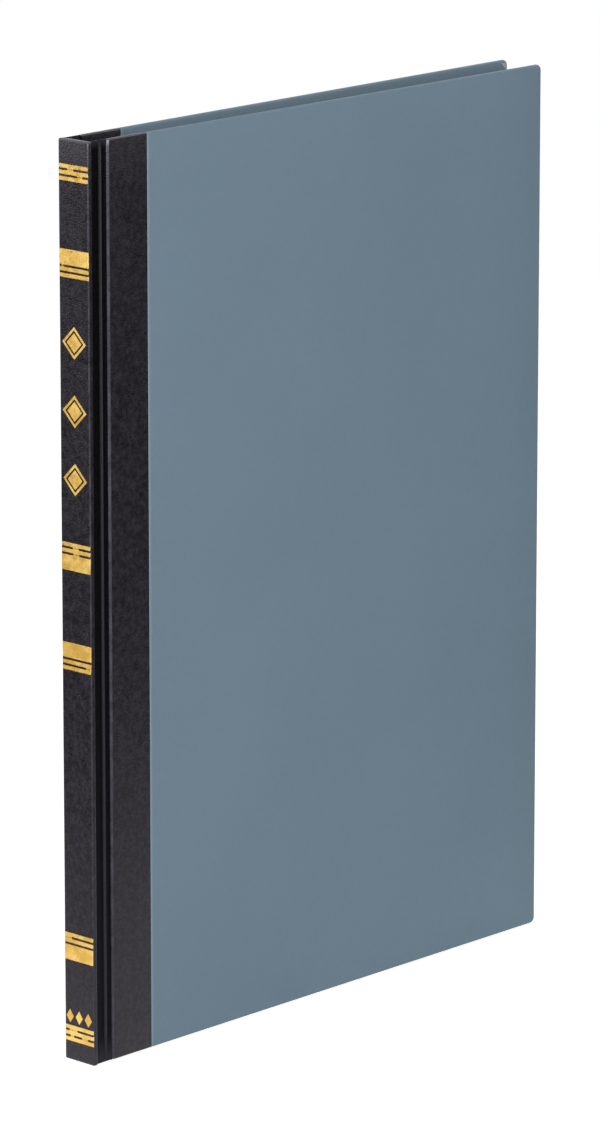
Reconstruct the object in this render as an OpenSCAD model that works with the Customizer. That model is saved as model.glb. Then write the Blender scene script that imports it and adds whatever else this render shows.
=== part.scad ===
// Hardback accounting ledger with sewn sections, standing on its tail edge.
// X runs from the spine to the fore-edge, the front cover faces -Y, and Z runs up to the head.
// The origin lies at the middle of the footprint.

/* [Text block] */
// Width of a leaf from fold to fore-edge
leaf_w = 182; // [140:1:220]
// Height of a leaf
leaf_h = 257; // [200:1:320]
// Thickness of one leaf
leaf_t = 0.078; // [0.07:0.002:0.13]
// Leaves in one section
section_leaves = 10; // [8:2:16]
// Thickness of a flyleaf
flyleaf_t = 0.15; // [0.1:0.01:0.3]
// Distance from a cover's hinge line to the line where leaves bend
bend_clear = 1.1; // [0.5:0.1:3]
// Gap between the folds of neighbouring sections
fold_gap = 0.04; // [0.02:0.01:0.08]

/* [Boards] */
// Thickness of a cover board
board_t = 1.3; // [1:0.1:3]
// Overhang of the boards past the leaves at head, tail and fore-edge
square_w = 3; // [2:0.5:5]
// Radius of the boards' corners at the fore-edge
corner_r = 1.4; // [0.5:0.1:3]
// Width of the groove between spine strip and board
groove_w = 6.8; // [5:0.1:9]

/* [Hinges] */
// Distance of a cover's hinge line outside the cover's face
hinge_out = 0.25; // [0.1:0.05:0.5]
// Angle by which each cover springs open at rest
cover_spring = 0.5; // [0:0.05:1.5]

/* [Coverings] */
// Thickness of the cloth and paper that cover the case
cover_t = 0.3; // [0.2:0.05:0.5]
// Reach of the black cloth over the board
cloth_reach = 15; // [10:0.5:40]
// Width of the covering turned in over the boards' edges
turn_in = 15; // [10:0.5:20]
// Radius of the spine's long edges
spine_edge_r = 0.6; // [0.5:0.05:0.9]

/* [Spine] */
// Thickness of the spine strip
strip_t = 1.0; // [0.8:0.1:2]
// Hollow between spine strip and lining
hollow_gap = 0.4; // [0.35:0.05:0.9]
// Thickness of the spine lining paper
lining_t = 0.3; // [0.2:0.05:0.5]
// Distance from the lining's ends to the ends of the leaves
lining_margin = 2; // [1:0.5:8]
// Thickness of the mull
mull_t = 0.3; // [0.2:0.05:0.5]
// Distance from the mull's ends to the ends of the leaves
mull_margin = 16; // [14:0.5:30]
// Width of the mull's flange on each board
flange_w = 25; // [15:1:40]
// Thickness of the mull's flange once it is pressed flat
flange_t = 0.2; // [0.1:0.05:0.3]

/* [Endpapers] */
// Thickness of a pastedown
pastedown_t = 0.15; // [0.1:0.01:0.3]
// Clearance between a flyleaf and the endpaper joint over it
joint_gap = 0.03; // [0.02:0.01:0.06]

/* [Sewing and bands] */
// Diameter of the sewing thread
thread_d = 0.4; // [0.3:0.05:0.6]
// Distance between the pairs of stitches
stitch_pitch = 42; // [30:1:60]
// Distance between the two threads of a pair
stitch_pair = 12; // [6:1:20]
// Distance from the end stitches to the ends of the leaves
stitch_margin = 14; // [12:1:30]
// Diameter of the bead on the head and tail bands
bead_d = 1.6; // [1:0.1:1.8]
// Thickness of the tape below the bead
band_tape_t = 0.3; // [0.2:0.05:0.3]
// Length of the tape below the bead
band_tape_l = 9; // [5:0.5:10]

/* [Spine gold] */
// Thickness of the gold foil
foil_t = 0.05; // [0.03:0.01:0.1]
// Distance from the ends of the gold to the spine's long edges
foil_inset = 0.4; // [0.2:0.1:2]
// Width of a thin gold line
line_w = 1.1; // [0.6:0.1:1.5]
// Gap between gold lines
line_gap = 0.65; // [0.4:0.05:1]
// Width of a gold bar
bar_w = 4.4; // [2:0.1:6]
// Distance from the head to the first of the head lines
head_lines_at = 6.9; // [4:0.1:12]
// Distance from the head to the upper band of the upper panel
panel_top_at = 30.6; // [24:0.1:36]
// Distance from the head to the lower band of the upper panel
panel_foot_at = 113.4; // [108:0.1:118]
// Distance from the head to the band below the upper panel
middle_band_at = 142; // [130:0.1:148]
// Distance from the tail to the lowest band
low_band_at = 37.3; // [30:0.1:40]
// Distance from the tail to the first of the tail lines
tail_lines_at = 10.2; // [8:0.1:14]
// Height of a lozenge in the upper panel
lozenge_h = 9.2; // [4:0.1:12]
// Distance from a lozenge's side corners to the spine's long edges
lozenge_inset = 1.2; // [0.8:0.1:4]
// Distance between the lozenges' middles
lozenge_pitch = 19.3; // [14:0.1:24]
// Height of a small lozenge near the tail
tail_lozenge_h = 4; // [1.5:0.1:4.2]
// Width of a small lozenge near the tail
tail_lozenge_w = 2.8; // [1.5:0.1:3.2]
// Distance from the tail to the middle of the small lozenges
tail_lozenge_at = 12.9; // [12.6:0.1:16]

/* [Hidden] */
$fn = 48;
SECTIONS = 10;
// Sections that turn with each cover
TURNING = 4;
PANEL_LOZENGES = 3;
TAIL_LOZENGES = 3;
STATIONS = 5;
// Small overlap that keeps cutting shapes clear of coincident faces
CUT = 1;

// Levels measured out from the middle of the block along Y
section_t = section_leaves * leaf_t;
sections_y = SECTIONS * section_t / 2;
block_y = sections_y + flyleaf_t;
board_in_y = block_y + pastedown_t;
board_out_y = board_in_y + board_t;
case_y = board_out_y + cover_t;
groove_floor_y = board_in_y + flange_t;

// Offsets measured from the spine's outer face along X
strip_in = cover_t + strip_t;
shoulder_in = strip_in + cover_t;
lining_at = strip_in + hollow_gap;
mull_at = lining_at + lining_t;
fold_at = mull_at + mull_t + thread_d;
fore_edge_at = fold_at + leaf_w;
board_at = strip_in + groove_w;
// Each cover turns about the middle of its groove
hinge_at = (strip_in + board_at) / 2;
leaf_cut_at = hinge_at + bend_clear;
cloth_wall_at = board_at - cover_t;
cloth_end_at = board_at + cloth_reach;
board_end_at = fore_edge_at + square_w;
case_w = board_end_at + cover_t;
hinge_y = case_y + hinge_out;
// Inner level of the endpaper joint, clear of the flyleaf that rises with the sprung cover
joint_in_y = block_y + joint_gap + (cloth_wall_at - hinge_at) * sin(cover_spring);
// Reach of the sprung covers, at the inner edge of their fore-edge
cover_reach = hinge_at + (case_w - hinge_at) * cos(cover_spring) + (hinge_y - board_in_y) * sin(cover_spring);

// Heights along Z
case_h = leaf_h + 2 * (square_w + cover_t);
leaf_z = cover_t + square_w;
head_z = leaf_z + leaf_h;

// The spine's outer face, with the footprint and its gold centred on the origin
spine_x = (foil_t - cover_reach) / 2;
spine_w = 2 * case_y;
lozenge_w = spine_w - 2 * lozenge_inset;
tail_lozenge_pitch = (spine_w - 2 * foil_inset) / TAIL_LOZENGES;

CLOTH = [0.16, 0.15, 0.17];
BLUE_GREY = [0.42, 0.49, 0.54];
GREY_BOARD = [0.55, 0.53, 0.49];
PAPER = [0.93, 0.91, 0.85];
ENDPAPER = [0.95, 0.94, 0.9];
MULL = [0.85, 0.82, 0.74];
KRAFT = [0.66, 0.53, 0.38];
GOLD = [0.9, 0.72, 0.32];
THREAD = [0.97, 0.96, 0.92];
BAND = [0.3, 0.36, 0.46];

// A box from one corner to the other, with X measured from the spine
module block(low, high) {
    translate([spine_x + low.x, low.y, low.z]) cube(high - low);
}

// A plate in XZ from one level to another, with round corners at its fore-edge
module plate(low, high, r) {
    wide = high.x - low.x;
    tall = high.z - low.z;
    translate([spine_x + low.x, high.y, low.z]) rotate([90, 0, 0]) linear_extrude(high.y - low.y) {
        square([wide - r, tall]);
        translate([0, r]) square([wide, tall - 2 * r]);
        for (z = [r, tall - r]) translate([wide - r, z]) circle(r);
    }
}

// The back half as drawn, or its mirror image for the front
module on_side(side) {
    if (side == "front") mirror([0, 1, 0]) children();
    else children();
}

// A piece of the back half turned outwards about its cover's hinge line
module sprung(angle) {
    axis = [spine_x + hinge_at, hinge_y, 0];
    translate(axis) rotate([0, 0, angle]) translate(-axis) children();
}

// Solid of one board before its rebates
module board_slab() {
    plate([board_at, board_in_y, cover_t], [board_end_at, board_out_y, case_h - cover_t], corner_r);
}

// Shallow rebate on the inner face that the turned-in covering fills
module turn_in_rebate() {
    difference() {
        block([board_at - CUT, board_in_y - CUT, 0],
              [case_w + CUT, board_in_y + cover_t, case_h]);
        block([board_at - 2 * CUT, board_in_y - 2 * CUT, cover_t + turn_in],
              [board_end_at - turn_in, board_in_y + 2 * cover_t, case_h - cover_t - turn_in]);
    }
}

// Board with room for the turn-ins
module board_core() {
    difference() {
        board_slab();
        turn_in_rebate();
    }
}

module mull_flange_solid() {
    block([board_at, board_in_y, leaf_z + mull_margin],
          [board_at + flange_w, groove_floor_y, head_z - mull_margin]);
}

module board(side) {
    color(GREY_BOARD) on_side(side) sprung(cover_spring) difference() {
        board_core();
        mull_flange_solid();
    }
}

module mull_flange(side) {
    color(MULL) on_side(side) sprung(cover_spring) mull_flange_solid();
}

// Blue-grey sheet over the board, turned in at head, tail and fore-edge
module cover_paper(side) {
    color(BLUE_GREY) on_side(side) sprung(cover_spring) difference() {
        plate([cloth_end_at, board_in_y, 0], [case_w, case_y, case_h], corner_r + cover_t);
        board_core();
    }
}

// Black cloth over the spine side of the board, turned in at head and tail
module cloth_side(side) {
    color(CLOTH) on_side(side) sprung(cover_spring) difference() {
        block([cloth_wall_at, board_in_y, 0], [cloth_end_at, case_y, case_h]);
        board_core();
    }
}

module pastedown(side) {
    color(ENDPAPER) on_side(side) sprung(cover_spring)
        block([board_at, block_y, leaf_z], [fore_edge_at, board_in_y, head_z]);
}

// Cloth on the floor of the groove
module groove_cloth(side) {
    color(CLOTH) on_side(side)
        block([shoulder_in, groove_floor_y, 0], [cloth_wall_at, groove_floor_y + cover_t, case_h]);
}

// Mull and endpaper glued together below the groove
module joint_strip(side) {
    color(ENDPAPER) on_side(side)
        block([mull_at, joint_in_y, leaf_z], [cloth_wall_at, groove_floor_y, head_z]);
}

module spine_strip() {
    strip_y = case_y - cover_t;
    color(GREY_BOARD)
        block([cover_t, -strip_y, cover_t], [strip_in, strip_y, case_h - cover_t]);
}

// Cloth round the spine strip, with its shoulders and its turn-ins at head and tail
module spine_cloth() {
    strip_y = case_y - cover_t;
    color(CLOTH) difference() {
        translate([spine_x, 0, 0]) linear_extrude(case_h) {
            translate([spine_edge_r, -case_y]) square([shoulder_in - spine_edge_r, spine_w]);
            translate([0, spine_edge_r - case_y]) square([shoulder_in, spine_w - 2 * spine_edge_r]);
            for (s = [-1, 1]) translate([spine_edge_r, s * (case_y - spine_edge_r)]) circle(spine_edge_r);
        }
        block([cover_t, -strip_y, cover_t], [strip_in, strip_y, case_h - cover_t]);
        block([strip_in - CUT / 2, -groove_floor_y, cover_t + turn_in],
              [shoulder_in + CUT, groove_floor_y, case_h - cover_t - turn_in]);
    }
}

module spine_lining() {
    color(KRAFT)
        block([lining_at, -block_y, leaf_z + lining_margin], [mull_at, block_y, head_z - lining_margin]);
}

module spine_mull() {
    color(MULL)
        block([mull_at, -block_y, leaf_z + mull_margin],
              [mull_at + mull_t, block_y, head_z - mull_margin]);
}

// Bead on the leaves' ends with its tape down the spine, drawn for the head
module end_band() {
    tape_at = mull_at + mull_t;
    color(BAND) {
        block([tape_at, -sections_y, head_z - band_tape_l],
              [tape_at + band_tape_t, sections_y, head_z + bead_d / 2]);
        translate([spine_x + tape_at + bead_d / 2, sections_y, head_z + bead_d / 2])
            rotate([90, 0, 0]) cylinder(d = bead_d, h = 2 * sections_y);
    }
}

module head_band() {
    end_band();
}

module tail_band() {
    translate([0, 0, case_h]) mirror([0, 0, 1]) end_band();
}

// Threads that cross the folds at each pair of stitches, and one near each end
module sewing_thread() {
    first = (head_z + leaf_z - (STATIONS - 1) * stitch_pitch) / 2;
    pairs = [for (n = [0 : STATIONS - 1], s = [-1, 1]) first + n * stitch_pitch + s * stitch_pair / 2];
    ends = [leaf_z + stitch_margin, head_z - stitch_margin];
    color(THREAD) for (z = concat(pairs, ends))
        translate([spine_x + fold_at - thread_d / 2, sections_y, z])
            rotate([90, 0, 0]) cylinder(d = thread_d, h = 2 * sections_y);
}

// One stamped line or bar across the spine, with its upper edge at a height
module foil_strip(top, tall) {
    half = case_y - foil_inset;
    block([-foil_t, -half, top - tall], [0, half, top]);
}

// Heights of a row of thin lines that starts at a height and runs down
function line_tops(top, count) = [for (n = [0 : count - 1]) top - n * (line_w + line_gap)];

// Depth of a band's two lines with the gap that parts them from the bar
pair_depth = 2 * (line_w + line_gap);

module gold_lines() {
    below_bar = bar_w + line_gap;
    tops = concat(
        line_tops(case_h - head_lines_at, 3),
        line_tops(case_h - panel_top_at - below_bar, 2),
        line_tops(case_h - panel_foot_at, 2),
        line_tops(case_h - middle_band_at - below_bar, 2),
        line_tops(low_band_at, 2),
        line_tops(tail_lines_at, 3));
    color(GOLD) for (top = tops) foil_strip(top, line_w);
}

module gold_bars() {
    tops = [
        case_h - panel_top_at,
        case_h - panel_foot_at - pair_depth,
        case_h - middle_band_at,
        low_band_at - pair_depth];
    color(GOLD) for (top = tops) foil_strip(top, bar_w);
}

// A stamped lozenge on the spine's face
module lozenge(y, z, wide, tall) {
    translate([spine_x - foil_t, y, z]) rotate([90, 0, 90]) linear_extrude(foil_t)
        polygon([[-wide / 2, 0], [0, -tall / 2], [wide / 2, 0], [0, tall / 2]]);
}

module gold_lozenges() {
    panel_top = case_h - panel_top_at - bar_w - pair_depth;
    panel_middle = (panel_top + case_h - panel_foot_at) / 2;
    color(GOLD) {
        for (n = [0 : PANEL_LOZENGES - 1])
            lozenge(0, panel_middle + (n - (PANEL_LOZENGES - 1) / 2) * lozenge_pitch, lozenge_w, lozenge_h);
        for (n = [0 : TAIL_LOZENGES - 1])
            lozenge((n - (TAIL_LOZENGES - 1) / 2) * tail_lozenge_pitch, tail_lozenge_at,
                    tail_lozenge_w, tail_lozenge_h);
    }
}

// Level of a section's front face, counted from the front
function section_y(n) = -sections_y + (n - 1) * section_t;

// Folded end of a section, with its round fold, as far as an offset from the spine
module folded_section(n, reach) {
    r = (section_t - fold_gap) / 2;
    translate([spine_x + fold_at, section_y(n) + section_t / 2, leaf_z]) linear_extrude(leaf_h) {
        translate([r, 0]) circle(r);
        translate([r, -r]) square([reach - fold_at - r, 2 * r]);
    }
}

// Angle at which the k-th section in from a cover lies, fanned between that cover and the middle
function fan_angle(k) = cover_spring * (TURNING + 1 - k) / (TURNING + 1);

// Leaves of the k-th section in from a cover, from the bend line to the fore-edge
module turning_leaves(side, k) {
    on_side(side) sprung(fan_angle(k))
        block([leaf_cut_at, sections_y - k * section_t, leaf_z],
              [fore_edge_at, sections_y - (k - 1) * section_t, head_z]);
}

module section(n) {
    k = min(n, SECTIONS + 1 - n);
    color(PAPER) {
        if (k > TURNING) folded_section(n, fore_edge_at);
        else turning_leaves(n == k ? "front" : "back", k);
    }
}

// Gutters of the sections that turn, and of the two flyleaves
module leaf_gutters() {
    color(PAPER) for (n = [1 : TURNING]) {
        folded_section(n, leaf_cut_at);
        folded_section(SECTIONS + 1 - n, leaf_cut_at);
    }
    color(ENDPAPER) for (side = ["front", "back"]) on_side(side)
        block([fold_at + section_t / 2, sections_y, leaf_z], [leaf_cut_at, block_y, head_z]);
}

module flyleaf(side) {
    color(ENDPAPER) on_side(side) sprung(fan_angle(1))
        block([leaf_cut_at, sections_y, leaf_z], [fore_edge_at, block_y, head_z]);
}

board("front");  // front_board
cover_paper("front");  // front_cover_paper
cloth_side("front");  // front_cloth_side
pastedown("front");  // front_pastedown
mull_flange("front");  // front_mull_flange
board("back");  // back_board
cover_paper("back");  // back_cover_paper
cloth_side("back");  // back_cloth_side
pastedown("back");  // back_pastedown
mull_flange("back");  // back_mull_flange
groove_cloth("front");  // front_groove_cloth
joint_strip("front");  // front_joint_strip
groove_cloth("back");  // back_groove_cloth
joint_strip("back");  // back_joint_strip
spine_strip();
spine_cloth();
spine_lining();
spine_mull();
head_band();
tail_band();
sewing_thread();
gold_lines();
gold_bars();
gold_lozenges();
leaf_gutters();
flyleaf("front");  // front_flyleaf
flyleaf("back");  // back_flyleaf
section(1);  // section_01
section(2);  // section_02
section(3);  // section_03
section(4);  // section_04
section(5);  // section_05
section(6);  // section_06
section(7);  // section_07
section(8);  // section_08
section(9);  // section_09
section(10);  // section_10
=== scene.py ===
# Builds the ledger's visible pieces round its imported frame: cloth, cover paper, gold, endpapers and leaves.
import math
import random

import bmesh
import bpy
from mathutils import Matrix, Vector


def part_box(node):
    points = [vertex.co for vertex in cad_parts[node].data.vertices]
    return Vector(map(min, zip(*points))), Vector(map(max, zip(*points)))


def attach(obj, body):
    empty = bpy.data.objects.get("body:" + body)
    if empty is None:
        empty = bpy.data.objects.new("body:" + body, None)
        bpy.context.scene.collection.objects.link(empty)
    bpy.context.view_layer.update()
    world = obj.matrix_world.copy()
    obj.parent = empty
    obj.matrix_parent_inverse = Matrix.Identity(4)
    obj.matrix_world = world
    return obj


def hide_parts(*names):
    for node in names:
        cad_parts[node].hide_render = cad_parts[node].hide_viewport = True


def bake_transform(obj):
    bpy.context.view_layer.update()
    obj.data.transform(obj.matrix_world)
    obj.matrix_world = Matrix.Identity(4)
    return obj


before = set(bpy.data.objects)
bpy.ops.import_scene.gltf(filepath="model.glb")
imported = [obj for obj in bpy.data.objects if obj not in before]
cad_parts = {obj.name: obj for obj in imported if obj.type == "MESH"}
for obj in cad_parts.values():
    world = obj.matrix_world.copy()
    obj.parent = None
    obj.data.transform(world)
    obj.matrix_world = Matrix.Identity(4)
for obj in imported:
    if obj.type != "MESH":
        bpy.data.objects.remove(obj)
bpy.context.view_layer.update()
random.seed(11)

# Places in the book are in millimetres: X from the spine's face, Y from the middle and Z from the tail
MM = 0.001
SPINE_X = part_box("spine_cloth")[0].x / MM

# Driving sizes of the text block, whose TURNING outer sections on each side fan out towards their cover
LEAF_W = 182.0
LEAF_H = 257.0
LEAF_T = 0.078
BIFOLIA = 5
SECTIONS = 10
TURNING = 4
ENDPAPER_T = 0.15
THREAD_D = 0.4

# Driving sizes of the case
BOARD_T = 1.3
BOARD_CORNER_R = 1.4
SQUARE_W = 3.0
GROOVE_W = 6.8
COVER_T = 0.3
CLOTH_REACH = 15.0
TURNED_W = 15.0
HINGE_OUT = 0.25
SPRING = math.radians(0.5)

# Driving sizes of the spine
STRIP_T = 1.0
SPINE_EDGE_R = 0.6
HOLLOW_GAP = 0.4
LINING_T = 0.3
LINING_MARGIN = 2.0
MULL_T = 0.3
MULL_MARGIN = 16.0
FLANGE_W = 25.0
FLANGE_T = 0.2

# Levels from the middle of the block out to the covers
SECTION_T = 2 * BIFOLIA * LEAF_T
SECTIONS_Y = SECTIONS * SECTION_T / 2
BLOCK_Y = SECTIONS_Y + ENDPAPER_T
BOARD_IN_Y = BLOCK_Y + ENDPAPER_T
GROOVE_FLOOR = BOARD_IN_Y + FLANGE_T
BOARD_OUT_Y = BOARD_IN_Y + BOARD_T
CASE_Y = BOARD_OUT_Y + COVER_T
HINGE_Y = CASE_Y + HINGE_OUT

# Places from the spine's face to the fore-edge
STRIP_IN = COVER_T + STRIP_T
SHOULDER_IN = STRIP_IN + COVER_T
LINING_AT = STRIP_IN + HOLLOW_GAP
MULL_AT = LINING_AT + LINING_T
STITCH_AT = MULL_AT + MULL_T
FOLD_AT = STITCH_AT + THREAD_D
HINGE_AT = STRIP_IN + GROOVE_W / 2
BOARD_AT = STRIP_IN + GROOVE_W
CLOTH_WALL = BOARD_AT - COVER_T
CLOTH_END = BOARD_AT + CLOTH_REACH
FORE_EDGE = FOLD_AT + LEAF_W
BOARD_END = FORE_EDGE + SQUARE_W
CASE_W = BOARD_END + COVER_T

# Heights from the tail, and the reach of the turn-ins from the case's edges
LEAF_Z = SQUARE_W + COVER_T
HEAD_Z = LEAF_Z + LEAF_H
CASE_H = HEAD_Z + LEAF_Z
TURN_IN = TURNED_W + COVER_T

# Thickness of the visible skins
PAPER_SKIN = 0.19
CLOTH_SKIN = 0.17
GROOVE_SKIN = 0.2
JOINT_T = 0.26
FLYLEAF_T = 0.13
SHEET_T = 0.07
# Clearance that keeps one sheet off the next
SKIN_GAP = 0.01

# Radii of rounded edges
BOARD_GROOVE_R = 0.8
BOARD_RIM_R = 0.3
PAPER_RIM_R = 0.7
CLOTH_GROOVE_R = 1.0
CLOTH_RIM_R = 0.45
SHOULDER_R = 0.4
SPINE_RIM_R = 0.4
PASTEDOWN_RIM_R = 0.04
MULL_TAB_RIM_R = 0.05
LINING_RIM_R = 0.06

# Ridge pressed up along the middle of each groove, and the lengths over which it dies out
RIDGE_AT = 5.55
RIDGE_H = 0.75
RIDGE_W = 0.32
RIDGE_TAIL = 8.0
RIDGE_HEAD = 3.0
# The cloth on a board lies this far below the paper that laps it
CLOTH_SINK = 0.18
# Length over which a leaf bends out of the gutter, and its share of the cover's spring
BEND = 12.0
FAN = 0.92
# Places across the flat part of a leaf, and how far from the folds a flyleaf starts
FLAT_COLUMNS = [FOLD_AT + 30.0, 60.0, 100.0, 145.0]
FLYLEAF_SETBACK = 0.4
# Head and tail bands: bead, waist between threads, stripe of one colour with its threads, and tape
BEAD_R = 0.78
BAND_WAIST = 0.84
BAND_STRIPE = 0.65
STRIPE_THREADS = 2
BAND_TAPE_L = 9.0
BAND_TAPE_T = 0.28


class Graph:
    """Adds shader nodes to a tree and joins them"""

    def __init__(self, tree):
        self.tree = tree

    def add(self, kind, sockets=None, **settings):
        """A new node with its settings and inputs"""
        made = self.tree.nodes.new("ShaderNode" + kind)
        for name, value in settings.items():
            setattr(made, name, value)
        self.fill(made, sockets or {})
        return made

    def fill(self, made, sockets):
        """Links or sets a node's inputs"""
        for name, value in sockets.items():
            if isinstance(value, bpy.types.NodeSocket):
                self.tree.links.new(value, made.inputs[name])
            else:
                made.inputs[name].default_value = value

    def math(self, operation, first, second=0.0):
        return self.add("Math", {0: first, 1: second}, operation=operation).outputs[0]

    def vector_math(self, operation, first, second=(0, 0, 0)):
        return self.add("VectorMath", {0: first, 1: second}, operation=operation).outputs[0]

    def split(self, vector):
        return self.add("SeparateXYZ", {0: vector}).outputs

    def ramp(self, value, low, high, to_low=0.0, to_high=1.0):
        sockets = {"Value": value, "From Min": low, "From Max": high, "To Min": to_low, "To Max": to_high}
        return self.add("MapRange", sockets, interpolation_type="SMOOTHSTEP").outputs[0]

    def noise(self, vector, scale, detail=2.0):
        return self.add("TexNoise", {"Vector": vector, "Scale": scale, "Detail": detail}).outputs["Fac"]

    def tint(self, factor, first, second):
        made = self.add("Mix", {0: factor, 6: first, 7: second}, data_type="RGBA")
        return made.outputs[2]

    def bump(self, height, strength, distance):
        sockets = {"Height": height, "Strength": strength, "Distance": distance}
        return self.add("Bump", sockets).outputs["Normal"]

    def group(self, tree, sockets):
        made = self.add("Group", node_tree=tree)
        self.fill(made, sockets)
        return made.outputs


def colour(red, green, blue):
    return (red, green, blue, 1.0)


def shader_group(name, inputs, outputs):
    """An empty node group, with its graph and its inner sockets"""
    tree = bpy.data.node_groups.new(name, "ShaderNodeTree")
    for label, kind in inputs.items():
        tree.interface.new_socket(name=label, in_out="INPUT", socket_type="NodeSocket" + kind)
    for label in outputs:
        tree.interface.new_socket(name=label, in_out="OUTPUT", socket_type="NodeSocketFloat")
    enter = tree.nodes.new("NodeGroupInput")
    leave = tree.nodes.new("NodeGroupOutput")
    return tree, Graph(tree), enter.outputs, leave


def leather_grain_group():
    """Small pressed pebbles with creases between them"""
    inputs = {"Vector": "Vector", "Cells": "Float"}
    tree, graph, given, leave = shader_group("Leather grain", inputs, ("Height", "Pebble"))
    wander = graph.add("TexNoise", {"Vector": given["Vector"], "Scale": 900.0, "Detail": 1.0})
    push = graph.vector_math("MULTIPLY", wander.outputs["Color"], (0.0004, 0.0004, 0.0004))
    place = graph.vector_math("ADD", given["Vector"], push)
    sockets = {"Vector": place, "Scale": given["Cells"]}
    cells = graph.add("TexVoronoi", sockets, feature="DISTANCE_TO_EDGE").outputs["Distance"]
    pebble = graph.ramp(cells, 0.0, 0.22)
    fine = graph.noise(given["Vector"], 6500.0)
    height = graph.math("ADD", graph.math("MULTIPLY", pebble, 0.75), graph.math("MULTIPLY", fine, 0.25))
    graph.fill(leave, {"Height": height, "Pebble": pebble})
    return tree


def paper_fibre_group():
    """Short fibres and slow clouds of tone in a sheet of paper or board"""
    inputs = {"Vector": "Vector", "Fineness": "Float"}
    tree, graph, given, leave = shader_group("Paper fibres", inputs, ("Tone", "Height"))
    stretched = graph.vector_math("MULTIPLY", given["Vector"], (1.0, 1.0, 0.3))
    fibre = graph.noise(stretched, given["Fineness"], 5.0)
    slow = graph.math("MULTIPLY", given["Fineness"], 0.012)
    cloud = graph.noise(given["Vector"], slow, 3.0)
    tone = graph.math("ADD", graph.math("MULTIPLY", fibre, 0.5), graph.math("MULTIPLY", cloud, 0.5))
    graph.fill(leave, {"Tone": graph.ramp(tone, 0.35, 0.65), "Height": fibre})
    return tree


def edge_rub_and_highlight_group():
    """Mask along rounded edges for rubbing and for a painted highlight, from the piece's own normal"""
    inputs = {"Vector": "Vector", "Normal": "Vector", "Amount": "Float", "Least": "Float"}
    tree, graph, given, leave = shader_group("Edge rub and painted highlight", inputs, ("Mask",))
    flat = graph.split(graph.vector_math("ABSOLUTE", given["Normal"]))
    facing = graph.math("MAXIMUM", graph.math("MAXIMUM", flat[0], flat[1]), flat[2])
    edge = graph.ramp(facing, 0.995, 0.86)
    patches = graph.ramp(graph.noise(given["Vector"], 260.0, 4.0), 0.42, 0.62, given["Least"], 1.0)
    # Edges at the head and tail get less rub and less painted highlight than upright ones
    upright = graph.ramp(flat[2], 0.25, 0.6, 1.0, 0.15)
    rub_and_highlight_share = graph.math("MULTIPLY", upright, given["Amount"])
    mask = graph.math("MULTIPLY", graph.math("MULTIPLY", edge, patches), rub_and_highlight_share)
    graph.fill(leave, {"Mask": mask})
    return tree


def woven_group():
    """Crossing threads of a plain weave"""
    inputs = {"Vector": "Vector", "Threads": "Float"}
    tree, graph, given, leave = shader_group("Woven threads", inputs, ("Height",))
    place = graph.split(given["Vector"])
    turns = graph.math("MULTIPLY", given["Threads"], math.pi)
    across = graph.math("ADD", place[0], place[1])
    warp = graph.math("ABSOLUTE", graph.math("SINE", graph.math("MULTIPLY", across, turns)))
    weft = graph.math("ABSOLUTE", graph.math("SINE", graph.math("MULTIPLY", place[2], turns)))
    graph.fill(leave, {"Height": graph.math("MAXIMUM", warp, weft)})
    return tree


LEATHER_GRAIN = leather_grain_group()
PAPER_FIBRES = paper_fibre_group()
EDGE_RUB_AND_HIGHLIGHT = edge_rub_and_highlight_group()
WOVEN = woven_group()


def new_material(name):
    """A material with its graph, its shader, and the piece's own coordinates"""
    made = bpy.data.materials.new(name)
    made.use_nodes = True
    graph = Graph(made.node_tree)
    shader = made.node_tree.nodes["Principled BSDF"]
    return made, graph, shader, graph.add("TexCoord").outputs


def black_cloth(name, source, sheen):
    """Black book cloth with a pressed leather grain, still without its tone; sheen is its filler's shine"""
    made, graph, shader, coords = new_material(name)
    vector = coords[source]
    grain = graph.group(LEATHER_GRAIN, {"Vector": vector, "Cells": 1100.0})
    rough = graph.ramp(graph.noise(vector, 420.0, 3.0), 0.3, 0.7, 0.28, 0.42)
    shader.inputs["Specular IOR Level"].default_value = sheen
    shader.inputs["Specular Tint"].default_value = colour(0.94, 0.88, 1.0)
    graph.fill(shader, {"Roughness": rough, "Normal": graph.bump(grain["Height"], 0.32, 0.00009)})
    return made, graph, shader, coords, grain["Pebble"]


# Heights between which the painted highlight on the cloth's edges grows stronger
HIGHLIGHT_FROM = 30.0
HIGHLIGHT_TO = 160.0
# Distances from the head between which a painted glint comes in at the corners
GLINT_FROM = 2.2
GLINT_TO = 0.5


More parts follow.
